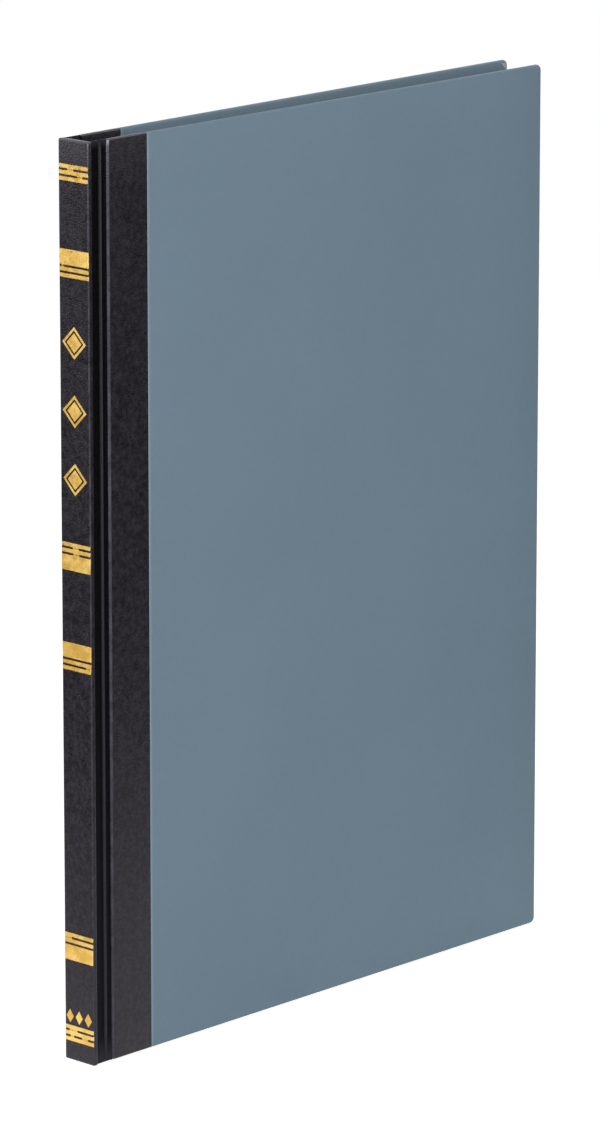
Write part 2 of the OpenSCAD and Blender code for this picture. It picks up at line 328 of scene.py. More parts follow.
def cloth_on_case():
    """Mottled cloth on the spine and the boards, with painted shade in its grain's creases, a painted
    highlight along its edges and a painted glint at the head corners
    """
    made, graph, shader, coords, pebble = black_cloth("Black grained cloth", "Object", 0.43)
    vector = coords["Object"]
    cloud = graph.ramp(graph.noise(vector, 650.0, 5.0), 0.38, 0.62)
    tone = graph.tint(cloud, colour(0.0025, 0.002, 0.003), colour(0.0172, 0.0145, 0.0205))
    # Painted shade in the creases between the grain's pebbles
    crease_shade = graph.ramp(pebble, 0.0, 1.0, 0.6, 0.0)
    tone = graph.tint(crease_shade, tone, colour(0.003, 0.0027, 0.0036))
    # Painted highlight along the rounded edges, stronger on the boards than on the spine, and stronger
    # towards the head
    place = graph.split(vector)
    spine_side, board_side = (SPINE_X + SHOULDER_IN) * MM, (SPINE_X + CLOTH_WALL) * MM
    on_board = graph.ramp(place[0], spine_side, board_side, 0.6, 1.0)
    wear_and_highlight = graph.ramp(place[2], HIGHLIGHT_FROM * MM, HIGHLIGHT_TO * MM, 0.4, 0.85)
    amount = graph.math("MULTIPLY", wear_and_highlight, on_board)
    sockets = {"Vector": vector, "Normal": coords["Normal"], "Amount": amount, "Least": 0.6}
    rub_and_highlight = graph.group(EDGE_RUB_AND_HIGHLIGHT, sockets)["Mask"]
    tone = graph.tint(rub_and_highlight, tone, colour(0.075, 0.075, 0.093))
    # Painted glint at the corners at the head
    at_head = graph.ramp(place[2], (CASE_H - GLINT_FROM) * MM, (CASE_H - GLINT_TO) * MM)
    tone = graph.tint(graph.math("MULTIPLY", rub_and_highlight, at_head), tone, colour(0.26, 0.26, 0.32))
    graph.fill(shader, {"Base Color": tone})
    return made


# Distances from the ridge between which its painted highlight fades
CREST_FROM = 0.2
CREST_TO = 0.6


def cloth_in_groove():
    """Cloth pressed into a groove: painted black shade in its valleys, a painted grey highlight along the
    ridge, and the plain cloth tone at the ends
    """
    name = "Black grained cloth in the grooves"
    made, graph, shader, coords, _ = black_cloth(name, "UV", 0.08)
    place = graph.split(coords["UV"])
    # Painted highlight along the ridge, with painted shade in the valleys either side of it
    from_ridge = graph.math("ABSOLUTE", graph.math("SUBTRACT", place[0], (RIDGE_AT - FOLD_AT) * MM))
    crest_highlight = graph.ramp(from_ridge, CREST_FROM * MM, CREST_TO * MM, 1.0, 0.0)
    pressed = graph.tint(crest_highlight, colour(0.0018, 0.0016, 0.0022), colour(0.032, 0.031, 0.037))
    # Near the tail and head the painted shade and highlight give way to the plain cloth tone
    tail, head = -LEAF_Z * MM, (CASE_H - LEAF_Z) * MM
    low_end = graph.ramp(place[1], tail + RIDGE_TAIL * MM, tail)
    high_end = graph.ramp(place[1], head - RIDGE_HEAD * MM, head)
    ends = graph.math("MAXIMUM", low_end, high_end)
    graph.fill(shader, {"Base Color": graph.tint(ends, pressed, colour(0.022, 0.021, 0.025))})
    return made


# Width over which the painted highlight along the cover paper's cut edge fades
CUT_EDGE_FADE = 1.0


def cover_paper_material():
    """Smooth blue-grey cover paper, with a painted highlight along its cut edge, and paler on rounded edges
    from rubbing and a painted highlight
    """
    made, graph, shader, coords = new_material("Blue-grey cover paper")
    vector = coords["Object"]
    fibres = graph.group(PAPER_FIBRES, {"Vector": vector, "Fineness": 1600.0})
    tone = graph.tint(fibres["Tone"], colour(0.1375, 0.2, 0.254), colour(0.146, 0.211, 0.268))
    # Painted highlight along the cut edge, where the paper slopes down to the cloth
    start = SPINE_X + CLOTH_END
    cut_edge_highlight = graph.ramp(graph.split(vector)[0], start * MM, (start + CUT_EDGE_FADE) * MM, 0.5, 0.0)
    tone = graph.tint(cut_edge_highlight, tone, colour(0.25, 0.335, 0.405))
    # Paler on rounded edges: partly rubbing, partly painted highlight
    sockets = {"Vector": vector, "Normal": coords["Normal"], "Amount": 0.25, "Least": 0.0}
    rub_and_highlight = graph.group(EDGE_RUB_AND_HIGHLIGHT, sockets)["Mask"]
    tone = graph.tint(rub_and_highlight, tone, colour(0.32, 0.39, 0.44))
    rough = graph.ramp(graph.noise(vector, 300.0, 3.0), 0.3, 0.7, 0.5, 0.6)
    normal = graph.bump(fibres["Height"], 0.12, 0.00005)
    shader.inputs["Specular IOR Level"].default_value = 0.3
    graph.fill(shader, {"Base Color": tone, "Roughness": rough, "Normal": normal})
    return made


def plain_paper(name, source, tones, fineness, rough):
    """Uncoated paper or board with fibres, between a darker and a paler tone"""
    made, graph, shader, coords = new_material(name)
    fibres = graph.group(PAPER_FIBRES, {"Vector": coords[source], "Fineness": fineness})
    tone = graph.tint(fibres["Tone"], *tones)
    shader.inputs["Roughness"].default_value = rough
    graph.fill(shader, {"Base Color": tone, "Normal": graph.bump(fibres["Height"], 0.2, 0.00005)})
    return made


# Ruling of a page in metres: u from the fold, v from the tail
RULE_PITCH = 0.0075
RULE_FIRST = 0.012
RULE_LAST = 0.2301
RULE_HALF = 0.0001
RED_HALF = 0.00012
RED_LAP = 0.0002
HEAD_RULES = (0.2345, 0.2356, 0.2462)
COLUMN_RULES = (0.012, 0.024, 0.0361, 0.0372, 0.096, 0.0971, 0.1225, 0.1236, 0.149, 0.1501, 0.1755, 0.1766)


def ledger_paper():
    """Leaf paper with pale ruling: blue lines across, red heads and money columns"""
    made, graph, shader, coords = new_material("Ruled ledger paper")
    vector = coords["UV"]
    fibres = graph.group(PAPER_FIBRES, {"Vector": vector, "Fineness": 1900.0})
    tone = graph.tint(fibres["Tone"], colour(0.775, 0.755, 0.672), colour(0.815, 0.795, 0.712))
    u, v = graph.split(vector)[:2]
    steps = graph.math("DIVIDE", graph.math("SUBTRACT", v, RULE_FIRST), RULE_PITCH)
    off = graph.math("ABSOLUTE", graph.math("SUBTRACT", steps, graph.math("ROUND", steps)))
    across = graph.math("LESS_THAN", off, RULE_HALF / RULE_PITCH)
    inside = graph.math("GREATER_THAN", v, RULE_FIRST - 0.001)
    inside = graph.math("MULTIPLY", inside, graph.math("LESS_THAN", v, RULE_LAST))
    blue = graph.math("MULTIPLY", across, inside)
    red = None
    for at in HEAD_RULES + COLUMN_RULES:
        axis = v if at in HEAD_RULES else u
        line = graph.add("Math", {0: axis, 1: at, 2: RED_HALF}, operation="COMPARE").outputs[0]
        red = line if red is None else graph.math("MAXIMUM", red, line)
    ruled = graph.math("MULTIPLY", red, graph.math("LESS_THAN", v, HEAD_RULES[-1] + RED_LAP))
    ruled = graph.math("MULTIPLY", ruled, graph.math("GREATER_THAN", v, RULE_FIRST - RED_LAP))
    tone = graph.tint(graph.math("MULTIPLY", blue, 0.75), tone, colour(0.3, 0.43, 0.55))
    tone = graph.tint(graph.math("MULTIPLY", ruled, 0.75), tone, colour(0.58, 0.22, 0.2))
    shader.inputs["Roughness"].default_value = 0.75
    graph.fill(shader, {"Base Color": tone, "Normal": graph.bump(fibres["Height"], 0.15, 0.00004)})
    return made


def gold_foil():
    """Stamped gold that lets a little cloth through where it has worn"""
    made, graph, shader, coords = new_material("Stamped gold foil")
    vector = coords["Object"]
    grain = graph.group(LEATHER_GRAIN, {"Vector": vector, "Cells": 1700.0})
    wear_and_highlight = graph.ramp(graph.noise(vector, 900.0, 4.0), 0.66, 0.72)
    bare = graph.math("MULTIPLY", wear_and_highlight, graph.ramp(graph.noise(vector, 120.0), 0.45, 0.6))
    sheen = graph.ramp(graph.noise(vector, 260.0, 3.0), 0.3, 0.7)
    tone = graph.tint(sheen, colour(0.72, 0.42, 0.072), colour(0.93, 0.62, 0.17))
    tone = graph.tint(bare, tone, colour(0.03, 0.026, 0.024))
    metal = graph.ramp(bare, 0.0, 1.0, 0.55, 0.0)
    rough = graph.ramp(graph.noise(vector, 700.0, 3.0), 0.3, 0.7, 0.32, 0.5)
    normal = graph.bump(grain["Height"], 0.25, 0.00006)
    graph.fill(shader, {"Base Color": tone, "Metallic": metal, "Roughness": rough, "Normal": normal})
    return made


def mull_cloth():
    """Open lining cloth"""
    made, graph, shader, coords = new_material("Mull")
    weave = graph.group(WOVEN, {"Vector": coords["Object"], "Threads": 900.0})["Height"]
    threads = graph.ramp(weave, 0.4, 0.9)
    tone = graph.tint(threads, colour(0.36, 0.33, 0.26), colour(0.74, 0.7, 0.58))
    shader.inputs["Roughness"].default_value = 0.85
    graph.fill(shader, {"Base Color": tone, "Normal": graph.bump(weave, 0.5, 0.0001)})
    return made


def band_silk():
    """Blue and white silk wound along a head band"""
    made, graph, shader, coords = new_material("Wound band silk")
    along = graph.split(coords["Object"])[1]
    turns = graph.math("DIVIDE", along, 2 * BAND_STRIPE * MM)
    wave = graph.math("SINE", graph.math("MULTIPLY", turns, 2 * math.pi))
    stripe = graph.math("GREATER_THAN", wave, 0.0)
    drawn_out = graph.vector_math("MULTIPLY", coords["Object"], (1.0, 6.0, 1.0))
    strands = graph.noise(drawn_out, 1500.0)
    pale = graph.tint(strands, colour(0.62, 0.6, 0.53), colour(0.78, 0.76, 0.69))
    blue = graph.tint(strands, colour(0.035, 0.055, 0.12), colour(0.07, 0.1, 0.19))
    tone = graph.tint(stripe, blue, pale)
    shader.inputs["Roughness"].default_value = 0.5
    graph.fill(shader, {"Base Color": tone, "Normal": graph.bump(strands, 0.3, 0.00006)})
    return made


def linen_thread():
    """Twisted linen thread"""
    made, graph, shader, coords = new_material("Linen thread")
    place = graph.split(coords["Object"])
    lay = graph.math("MULTIPLY", graph.math("ADD", place[1], place[2]), 9000.0)
    strand = graph.math("ABSOLUTE", graph.math("SINE", lay))
    tone = graph.tint(strand, colour(0.6, 0.57, 0.49), colour(0.86, 0.84, 0.76))
    shader.inputs["Roughness"].default_value = 0.7
    graph.fill(shader, {"Base Color": tone, "Normal": graph.bump(strand, 0.4, 0.00005)})
    return made


FOLD_HIGHLIGHT_TONES = colour(0.27, 0.31, 0.35), colour(0.36, 0.4, 0.44)
ENDPAPER_TONES = colour(0.77, 0.75, 0.68), colour(0.83, 0.815, 0.75)
BOARD_TONES = colour(0.2, 0.185, 0.155), colour(0.33, 0.31, 0.265)
KRAFT_TONES = colour(0.33, 0.2, 0.1), colour(0.45, 0.29, 0.15)

CLOTH_ON_CASE = cloth_on_case()
CLOTH_IN_GROOVE = cloth_in_groove()
COVER_PAPER = cover_paper_material()
# A paler copy of the cover paper: painted highlight on the folded corners
FOLD_HIGHLIGHT_PAPER = plain_paper("Cover paper painted paler for the highlight on its folds", "Object", FOLD_HIGHLIGHT_TONES, 1600.0, 0.7)
ENDPAPER = plain_paper("Endpaper on the boards", "Object", ENDPAPER_TONES, 1500.0, 0.75)
ENDPAPER_FREE = plain_paper("Endpaper that bends", "UV", ENDPAPER_TONES, 1500.0, 0.75)
LEDGER_PAPER = ledger_paper()
GREY_BOARD = plain_paper("Grey board", "Object", BOARD_TONES, 900.0, 0.9)
KRAFT = plain_paper("Kraft lining", "Object", KRAFT_TONES, 1300.0, 0.8)
MULL = mull_cloth()
GOLD = gold_foil()
BAND_SILK = band_silk()
THREAD = linen_thread()


# Shaping
def near(first, second):
    return abs(first - second) < 0.001


def along_y(direction):
    """True for an edge that runs through the book's thickness"""
    return abs(direction.y) > 0.9


def along_z(direction):
    """True for an edge that runs from tail to head"""
    return abs(direction.z) > 0.9


def slab(low, high):
    """A block from one corner to the other"""
    bm = bmesh.new()
    low, high = Vector(low), Vector(high)
    bmesh.ops.create_cube(bm, size=1)
    bmesh.ops.scale(bm, vec=high - low, verts=bm.verts)
    bmesh.ops.translate(bm, vec=(low + high) / 2, verts=bm.verts)
    return bm


def round_edges(bm, chosen, radius, segments):
    """Rounds the edges that a test picks by their middle and direction"""
    edges = []
    for edge in bm.edges:
        first, second = (v.co for v in edge.verts)
        if chosen((first + second) / 2, (second - first).normalized()):
            edges.append(edge)
    settings = {"offset_type": "OFFSET", "affect": "EDGES", "profile": 0.5, "material": -1}
    bmesh.ops.bevel(bm, geom=edges, offset=radius, segments=segments, **settings)


def pressed_sheet(low, high, rim):
    """A flat sheet with softened edges"""
    bm = slab(low, high)
    round_edges(bm, lambda m, d: True, rim, 2)
    return bm


def on_end_rim(middle, open_x):
    """True for edges round the head and tail, apart from those at the side that stays open"""
    at_end = near(middle.z, 0) or near(middle.z, CASE_H)
    return at_end and not near(middle.x, open_x)


def cut_across(bm, point, normal):
    """Adds an edge loop where a plane crosses the piece"""
    everything = bm.verts[:] + bm.edges[:] + bm.faces[:]
    bmesh.ops.bisect_plane(bm, geom=everything, plane_co=point, plane_no=normal)


def open_up(bm, chosen):
    """Takes away the faces that a test picks by their middle and normal"""
    gone = [f for f in bm.faces if chosen(f.calc_center_median(), f.normal)]
    bmesh.ops.delete(bm, geom=gone, context="FACES")


def cut_at_turn_ins(bm):
    """Adds edge loops where the turn-ins at head and tail end"""
    for z in (TURN_IN, CASE_H - TURN_IN):
        cut_across(bm, (0, 0, z), (0, 0, 1))


def between_turn_ins(z):
    return TURN_IN < z < CASE_H - TURN_IN


def thicken(bm, depth):
    """Gives an open skin its thickness, inwards"""
    bmesh.ops.solidify(bm, geom=bm.faces[:], thickness=depth)


def verts_of(grown):
    """The vertices among what an operator made"""
    return [g for g in grown["geom"] if isinstance(g, bmesh.types.BMVert)]


def draw_out(bm, edges, move):
    """Extends edges into a strip of faces; gives the strip's far edges and vertices"""
    grown = bmesh.ops.extrude_edge_only(bm, edges=edges)
    verts = verts_of(grown)
    bmesh.ops.translate(bm, vec=move, verts=verts)
    far = set(verts)
    far_edges = [g for g in grown["geom"] if isinstance(g, bmesh.types.BMEdge) and far.issuperset(g.verts)]
    return far_edges, verts


def draw_line(bm, last):
    """A further vertex joined to the last one"""
    return bmesh.ops.extrude_vert_indiv(bm, verts=[last])["verts"][0]


def gather(bm, part):
    """Adds a finished part to a piece"""
    mesh = bpy.data.meshes.new("part")
    part.to_mesh(mesh)
    part.free()
    bm.from_mesh(mesh)
    bpy.data.meshes.remove(mesh)


def steps_between(low, high, count):
    return [low + (high - low) * n / count for n in range(count + 1)]


def ease(share):
    """A smooth step from 0 to 1"""
    share = min(max(share, 0.0), 1.0)
    return share * share * (3 - 2 * share)


def turn_about_hinge(point, angle):
    """Turns a point of the back half outwards about its cover's hinge"""
    x, y = point.x - HINGE_AT, point.y - HINGE_Y
    point.x = HINGE_AT + x * math.cos(angle) - y * math.sin(angle)
    point.y = HINGE_Y + x * math.sin(angle) + y * math.cos(angle)


def spring_open(bm):
    """Turns a piece of a cover to where the cover rests"""
    for vert in bm.verts:
        turn_about_hinge(vert.co, SPRING)


def lay_out_pattern(bm):
    """UV in metres across and up the piece as it lies closed"""
    layer = bm.loops.layers.uv.new("Sheet")
    for face in bm.faces:
        for loop in face.loops:
            loop[layer].uv = ((loop.vert.co.x - FOLD_AT) * MM, (loop.vert.co.z - LEAF_Z) * MM)


def make_piece(bm, name, material, nodes, side="back", smooth=35):
    """Moves a piece from the book's millimetres into the frame, names it and hides the parts it stands for"""
    bmesh.ops.translate(bm, vec=(SPINE_X, 0, 0), verts=bm.verts)
    bmesh.ops.scale(bm, vec=(MM, MM, MM), verts=bm.verts)
    if side == "front":
        bmesh.ops.scale(bm, vec=(1, -1, 1), verts=bm.verts)
        bmesh.ops.reverse_faces(bm, faces=bm.faces)
    mesh = bpy.data.meshes.new(name)
    bm.to_mesh(mesh)
    bm.free()
    mesh.materials.append(material)
    mesh.shade_smooth()
    mesh.set_sharp_from_angle(angle=math.radians(smooth))
    made = bpy.data.objects.new(name, mesh)
    bpy.context.scene.collection.objects.link(made)
    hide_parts(*nodes)
    return made


# Covers, with a gap round each board's raised panel
PANEL_GAP = 0.1


def board(side):
    """Grey board with a rounded edge at the groove and a raised panel between the turn-ins"""
    bm = slab((BOARD_AT, BOARD_IN_Y + COVER_T, COVER_T), (BOARD_END, BOARD_OUT_Y, CASE_H - COVER_T))
    round_edges(bm, lambda m, d: along_y(d) and near(m.x, BOARD_END), BOARD_CORNER_R, 5)

    def at_groove(middle, along):
        return along_z(along) and near(middle.x, BOARD_AT) and near(middle.y, BOARD_OUT_Y)

    round_edges(bm, at_groove, BOARD_GROOVE_R, 6)
    round_edges(bm, lambda m, d: m.x > BOARD_AT + FLANGE_W and not along_y(d), BOARD_RIM_R, 2)
    bmesh.ops.remove_doubles(bm, verts=bm.verts, dist=0.001)
    low_x, high_x = BOARD_AT + FLANGE_W + PANEL_GAP, CASE_W - TURN_IN - PANEL_GAP
    low_z, high_z = TURN_IN + PANEL_GAP, CASE_H - TURN_IN - PANEL_GAP
    for x in (low_x, high_x):
        cut_across(bm, (x, 0, 0), (1, 0, 0))
    for z in (low_z, high_z):
        cut_across(bm, (0, 0, z), (0, 0, 1))

    def in_panel(face):
        middle = face.calc_center_median()
        return face.normal.y < -0.9 and low_x < middle.x < high_x and low_z < middle.z < high_z

    panel = [f for f in bm.faces if in_panel(f)]
    raised = verts_of(bmesh.ops.extrude_face_region(bm, geom=panel))
    bmesh.ops.translate(bm, vec=(0, -COVER_T, 0), verts=raised)
    bmesh.ops.delete(bm, geom=panel, context="FACES_ONLY")
    bmesh.ops.recalc_face_normals(bm, faces=bm.faces)
    spring_open(bm)
    made = make_piece(bm, f"{side}_grey_board", GREY_BOARD, [f"{side}_board"], side)
    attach(made, f"{side}_cover")


# Folded paper at a corner: its place from the case's edges, its legs, its thickness and its sink
TUCK_AT = 0.75
TUCK_W = 2.5
TUCK_H = 2.3
TUCK_T = 0.1
TUCK_SINK = 0.02


def corner_tuck(bm, z, inwards):
    """Folded paper at a corner of the fore-edge, in a paler copy of the cover paper as a painted highlight on
    the fold
    """
    ring = [
        bm.verts.new((CASE_W - TUCK_AT - across, BOARD_IN_Y + TUCK_SINK, z + inwards * down))
        for across, down in ((0, 0), (TUCK_W, 0), (0, TUCK_H))
    ]
    face = bm.faces.new(ring if inwards < 0 else ring[::-1])
    grown = bmesh.ops.extrude_face_region(bm, geom=[face])
    bmesh.ops.translate(bm, vec=(0, -TUCK_T, 0), verts=verts_of(grown))
    tucked = {f for vert in ring for f in vert.link_faces}
    tucked.update(g for g in grown["geom"] if isinstance(g, bmesh.types.BMFace))
    for part in tucked:
        part.material_index = 1
    bmesh.ops.recalc_face_normals(bm, faces=list(tucked))


# The cover paper's cut edge slopes down to the cloth
CUT_EDGE_W = 0.45
CUT_EDGE_DROP = 0.13


def paper_wrap(side):
    """Blue-grey paper over the board, turned in at head, tail and fore-edge"""
    bm = slab((CLOTH_END, BOARD_IN_Y, 0), (CASE_W, CASE_Y, CASE_H))
    round_edges(bm, lambda m, d: along_y(d) and near(m.x, CASE_W), BOARD_CORNER_R + COVER_T, 8)

    def on_rim(middle, along):
        on_face = near(middle.y, BOARD_IN_Y) or near(middle.y, CASE_Y)
        return on_face and not near(middle.x, CLOTH_END)

    round_edges(bm, on_rim, PAPER_RIM_R, 5)
    for x in (CLOTH_END + CUT_EDGE_W, CASE_W - TURN_IN):
        cut_across(bm, (x, 0, 0), (1, 0, 0))
    cut_at_turn_ins(bm)

    def bare(middle, normal):
        end = normal.x < -0.9 and near(middle.x, CLOTH_END)
        within = middle.x < CASE_W - TURN_IN and between_turn_ins(middle.z)
        return end or (normal.y < -0.9 and within)

    open_up(bm, bare)
    for vert in bm.verts:
        if near(vert.co.x, CLOTH_END) and vert.co.y > CASE_Y - 0.1:
            vert.co.y -= CUT_EDGE_DROP
    thicken(bm, PAPER_SKIN)
    for z, inwards in ((TUCK_AT, 1), (CASE_H - TUCK_AT, -1)):
        corner_tuck(bm, z, inwards)
    spring_open(bm)
    nodes = [f"{side}_cover_paper"]
    made = make_piece(bm, f"{side}_paper_wrap", COVER_PAPER, nodes, side)
    made.data.materials.append(FOLD_HIGHLIGHT_PAPER)
    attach(made, f"{side}_cover")


def cloth_wrap(side):
    """Black cloth over the groove edge of the board, turned in at head and tail"""
    top_y = CASE_Y - CLOTH_SINK
    bm = slab((CLOTH_WALL, BOARD_IN_Y, 0), (CLOTH_END, top_y, CASE_H))

    def at_groove(middle, along):
        return along_z(along) and near(middle.x, CLOTH_WALL) and near(middle.y, top_y)

    round_edges(bm, at_groove, CLOTH_GROOVE_R, 8)
    round_edges(bm, lambda m, d: on_end_rim(m, CLOTH_END), CLOTH_RIM_R, 4)
    cut_at_turn_ins(bm)

    def bare(middle, normal):
        end = normal.x > 0.9 and near(middle.x, CLOTH_END)
        return end or (normal.y < -0.9 and between_turn_ins(middle.z))

    open_up(bm, bare)
    thicken(bm, CLOTH_SKIN)
    spring_open(bm)
    nodes = [f"{side}_cloth_side"]
    made = make_piece(bm, f"{side}_cloth_wrap", CLOTH_ON_CASE, nodes, side)
    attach(made, f"{side}_cover")


def pasted_endpaper(side):
    """Pastedown on the inside of a board, just clear of the flyleaf and the board"""
    low = (BOARD_AT, BLOCK_Y + SKIN_GAP, LEAF_Z)
    high = (FORE_EDGE, BOARD_IN_Y - SKIN_GAP / 2, HEAD_Z)
    bm = pressed_sheet(low, high, PASTEDOWN_RIM_R)
    spring_open(bm)
    made = make_piece(bm, f"{side}_endpaper_pasted", ENDPAPER, [f"{side}_pastedown"], side)
    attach(made, f"{side}_cover")


def mull_tab(side):
    """Flange of the mull, pressed flat on a board"""
    low = (BOARD_AT, BOARD_IN_Y, LEAF_Z + MULL_MARGIN)
    high = (BOARD_AT + FLANGE_W, GROOVE_FLOOR, HEAD_Z - MULL_MARGIN)
    bm = pressed_sheet(low, high, MULL_TAB_RIM_R)
    spring_open(bm)
    made = make_piece(bm, f"{side}_mull_tab", MULL, [f"{side}_mull_flange"], side)
    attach(made, f"{side}_cover")


# Bending sheets
def upright_sheet(points, low_z, high_z, rows):
    """A skin that stands on a line of points, with its face towards the back cover"""
    bm = bmesh.new()
    last = bm.verts.new((*points[0], low_z))
    for x, y in points[1:]:
        last = draw_line(bm, last)
        last.co = (x, y, low_z)
    edges = bm.edges[:]
    for _ in range(rows):
        edges = draw_out(bm, edges, (0, 0, (high_z - low_z) / rows))[0]
    bm.normal_update()
    if sum(f.normal.y for f in bm.faces) < 0:
        bmesh.ops.reverse_faces(bm, faces=bm.faces)
    return bm


def bend_in_groove(made):
    """Bakes the place of a sheet between the spine's shoulder and the cover into its mesh"""
    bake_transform(made)


def bend_with_leaves(made):
    """Bakes the place of a sheet at the gutter, among the leaves, into its mesh"""
    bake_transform(made)


def hump(x, middle, width, power=2):
    """1 at the middle and falling off to both sides, more bluntly with a higher power"""
    return math.exp(-(((x - middle) / width) ** power))


# Level of the cloth in a groove: above the floor, up its two walls, and where the ridge has died out
GROOVE_LIFT = 0.26
WALL_LIFT = 0.25
WALL_W = 0.4
PLAIN_LIFT = 0.3
# The cloth reaches this far past both walls
GROOVE_LAP = 0.1


def groove_level(x, pressed=1.0):
    """Height of the cloth across a groove, with the ridge pressed up along its middle"""
    walls = hump(x, SHOULDER_IN, WALL_W) + hump(x, CLOTH_WALL, WALL_W)
    ridge = RIDGE_H * hump(x, RIDGE_AT, RIDGE_W)
    return GROOVE_FLOOR + GROOVE_LIFT + WALL_LIFT * walls + pressed * ridge + (1 - pressed) * PLAIN_LIFT


def groove_fold(side):
    """Cloth along a groove"""
    columns = steps_between(SHOULDER_IN - GROOVE_LAP, CLOTH_WALL + GROOVE_LAP, 56)
    bm = upright_sheet([(x, groove_level(x)) for x in columns], 0.0, CASE_H, 4)
    for share in steps_between(0, 1, 8)[1:]:
        cut_across(bm, (0, 0, share * RIDGE_TAIL), (0, 0, 1))
        cut_across(bm, (0, 0, CASE_H - share * RIDGE_HEAD), (0, 0, 1))
    for vert in bm.verts:
        share = min(vert.co.z / RIDGE_TAIL, (CASE_H - vert.co.z) / RIDGE_HEAD)
        vert.co.y = groove_level(vert.co.x, ease(share))
    thicken(bm, GROOVE_SKIN)
    lay_out_pattern(bm)
    nodes = [f"{side}_groove_cloth"]
    made = make_piece(bm, f"{side}_groove_fold", CLOTH_IN_GROOVE, nodes, side, smooth=60)
    bend_in_groove(made)


def endpaper_joint(side):
    """Endpaper and mull below the groove"""
    start, end = MULL_AT + 5 * SKIN_GAP, BOARD_AT - 2 * SKIN_GAP
    points = [(x, GROOVE_FLOOR - 2 * SKIN_GAP) for x in steps_between(start, end, 24)]
    bm = upright_sheet(points, LEAF_Z, HEAD_Z, 2)
    thicken(bm, JOINT_T)
    lay_out_pattern(bm)
    nodes = [f"{side}_joint_strip"]
    made = make_piece(bm, f"{side}_endpaper_joint", ENDPAPER_FREE, nodes, side, smooth=60)
    bend_in_groove(made)


def leaf_columns(start):
    """Places across a leaf from its fold, close together where it bends"""
    return steps_between(start, FOLD_AT + BEND, 24) + FLAT_COLUMNS


def fan_out(verts, level):
    """Lets a leaf fan from the gutter towards its cover, by its distance from the middle of the block"""
    share = max(level - SECTION_T, 0) / (SECTIONS_Y - SECTION_T)
    for vert in verts:
        turn_about_hinge(vert.co, FAN * SPRING * share * ease((vert.co.x - FOLD_AT) / BEND))


def free_endpaper(side):
    """Flyleaf in front of the first section"""
    columns = leaf_columns(FOLD_AT + FLYLEAF_SETBACK) + [FORE_EDGE]
    points = [(x, BLOCK_Y - SKIN_GAP) for x in columns]
    bm = upright_sheet(points, LEAF_Z, HEAD_Z, 2)
    thicken(bm, FLYLEAF_T)
    lay_out_pattern(bm)
    fan_out(bm.verts, BLOCK_Y)
    made = make_piece(bm, f"{side}_endpaper_free", ENDPAPER_FREE, [f"{side}_flyleaf"], side)
    bend_with_leaves(made)


# How unevenly sheets are gathered and trimmed
GATHER_SLIP = 0.05
TRIM_SLIP = 0.2


def folded_sheet(middle_y, half):
    """One sheet folded into two leaves, spun round its fold and drawn out to the fore-edge"""
    bm = bmesh.new()
    centre = (FOLD_AT + SECTION_T / 2, middle_y, LEAF_Z + random.uniform(-GATHER_SLIP, GATHER_SLIP))
    first = bm.verts.new((centre[0], middle_y + half, centre[2]))
    spun = bmesh.ops.spin(bm, geom=[first], cent=centre, axis=(0, 0, 1), angle=math.pi, steps=4)
    ends = (first, next(g for g in spun["geom_last"] if isinstance(g, bmesh.types.BMVert)))
    for last in ends:
        for x in leaf_columns(centre[0])[1:] + [FORE_EDGE - random.uniform(0, TRIM_SLIP)]:
            last = draw_line(bm, last)
            last.co.x = x
    draw_out(bm, bm.edges[:], (0, 0, LEAF_H))
    bm.normal_update()
    outward = sum(f.normal.y * (f.calc_center_median().y - middle_y) for f in bm.faces)
    if outward < 0:
        bmesh.ops.reverse_faces(bm, faces=bm.faces)
    thicken(bm, SHEET_T)
    return bm


def section(side, inward):
    """Folded sheets of ruled paper; inward counts sections from the cover"""
    middle_y = (SECTIONS // 2 - inward + 0.5) * SECTION_T
    gathered = bmesh.new()
    for n in range(BIFOLIA):
        from_middle = (n + 0.5) * LEAF_T
        sheet = folded_sheet(middle_y, from_middle + SHEET_T / 2)
        lay_out_pattern(sheet)
        if inward <= TURNING:
            upper = [v for v in sheet.verts if v.co.y > middle_y]
            lower = [v for v in sheet.verts if v.co.y <= middle_y]
            fan_out(upper, middle_y + from_middle)
            fan_out(lower, middle_y - from_middle)
        gather(gathered, sheet)
    number = inward if side == "front" else SECTIONS + 1 - inward
    nodes = [f"section_{number:02d}"]
    # The folds stand for the gutters of all sections, which are one node
    if number == SECTIONS // 2:
        nodes.append("leaf_gutters")
    made = make_piece(gathered, f"section_{number:02d}_leaves", LEDGER_PAPER, nodes, side)
    if inward <= TURNING:
        bend_with_leaves(made)
    else:
        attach(made, "text_block")


# Spine
def spine_wrap():
    """Black cloth round the spine strip, with rounded shoulders and turned-in ends"""
    bm = slab((0, -CASE_Y, 0), (SHOULDER_IN, CASE_Y, CASE_H))
    round_edges(bm, lambda m, d: along_z(d) and near(m.x, 0), SPINE_EDGE_R, 6)
    round_edges(bm, lambda m, d: along_z(d) and near(m.x, SHOULDER_IN), SHOULDER_R, 4)
    round_edges(bm, lambda m, d: on_end_rim(m, SHOULDER_IN), SPINE_RIM_R, 4)
    for y in (-GROOVE_FLOOR, GROOVE_FLOOR):
        cut_across(bm, (0, y, 0), (0, 1, 0))
    cut_at_turn_ins(bm)

    def bare(middle, normal):
        return normal.x > 0.9 and abs(middle.y) < GROOVE_FLOOR and between_turn_ins(middle.z)

    open_up(bm, bare)
    thicken(bm, CLOTH_SKIN)
    made = make_piece(bm, "spine_cloth_wrap", CLOTH_ON_CASE, ["spine_cloth"])
    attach(made, "text_block")


